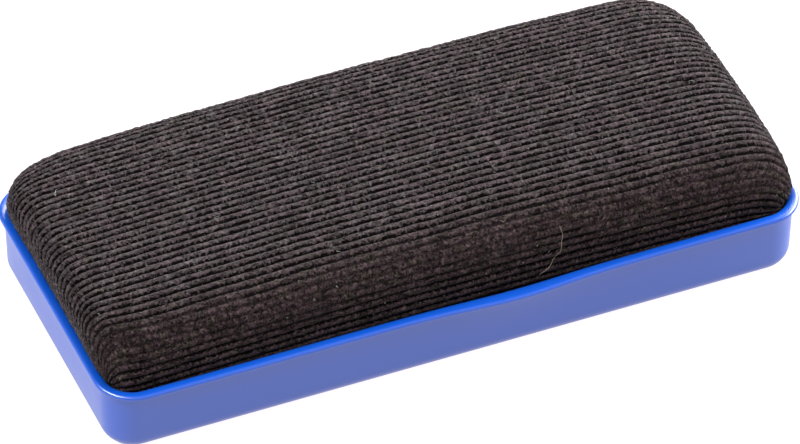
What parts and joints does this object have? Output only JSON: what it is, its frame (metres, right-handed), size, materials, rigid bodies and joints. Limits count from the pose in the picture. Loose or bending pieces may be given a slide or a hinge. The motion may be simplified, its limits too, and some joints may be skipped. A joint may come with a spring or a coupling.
{
  "type": "magnetic glass cleaner half",
  "caption": "Lipped plastic tray with magnets under a lid and a domed corduroy wiping pad that pulls straight out, for cleaning aquarium glass.",
  "frame": {"origin": "middle of the flat back, at the centre of the bounding box's underside", "axes": "+X along the length, +Y across the width, +Z out of the wiping pad, away from the flat back"},
  "size_m": [0.1108, 0.0494, 0.0234],
  "materials": {
    "blue_plastic": "gloss",
    "foam_tape": "matte",
    "zinc_steel": "satin",
    "ferrite": "matte",
    "white_plastic": "satin",
    "gasket_rubber": "matte",
    "grey_plastic": "satin",
    "stainless_steel": "satin",
    "hook_tape": "matte",
    "loop_tape": "matte",
    "board_plastic": "matte",
    "foam": "matte",
    "wadding_fibre": "matte",
    "corduroy": "matte"
  },
  "bodies": {
    "tray": {"casing": "blue_plastic", "yoke_tape": "foam_tape", "yoke_plate": "zinc_steel", "magnet_1": "ferrite", "magnet_2": "ferrite", "magnet_3": "ferrite", "magnet_4": "ferrite", "magnet_frame": "white_plastic", "cover_gasket": "gasket_rubber", "inner_cover": "grey_plastic", "cover_screw_1": "stainless_steel", "cover_screw_2": "stainless_steel", "cover_screw_3": "stainless_steel", "cover_screw_4": "stainless_steel", "hook_strip_left": "hook_tape", "hook_strip_right": "hook_tape"},
    "pad": {"loop_strip_left": "loop_tape", "loop_strip_right": "loop_tape", "pad_board": "board_plastic", "foam_core": "foam", "wadding": "wadding_fibre", "fabric_cover": "corduroy"}
  },
  "joints": [
    {"name": "pad_pull", "type": "slide", "parent": "tray", "child": "pad", "axis": [0, 0, 1], "range_m": [0, 0.03]}
  ]
}
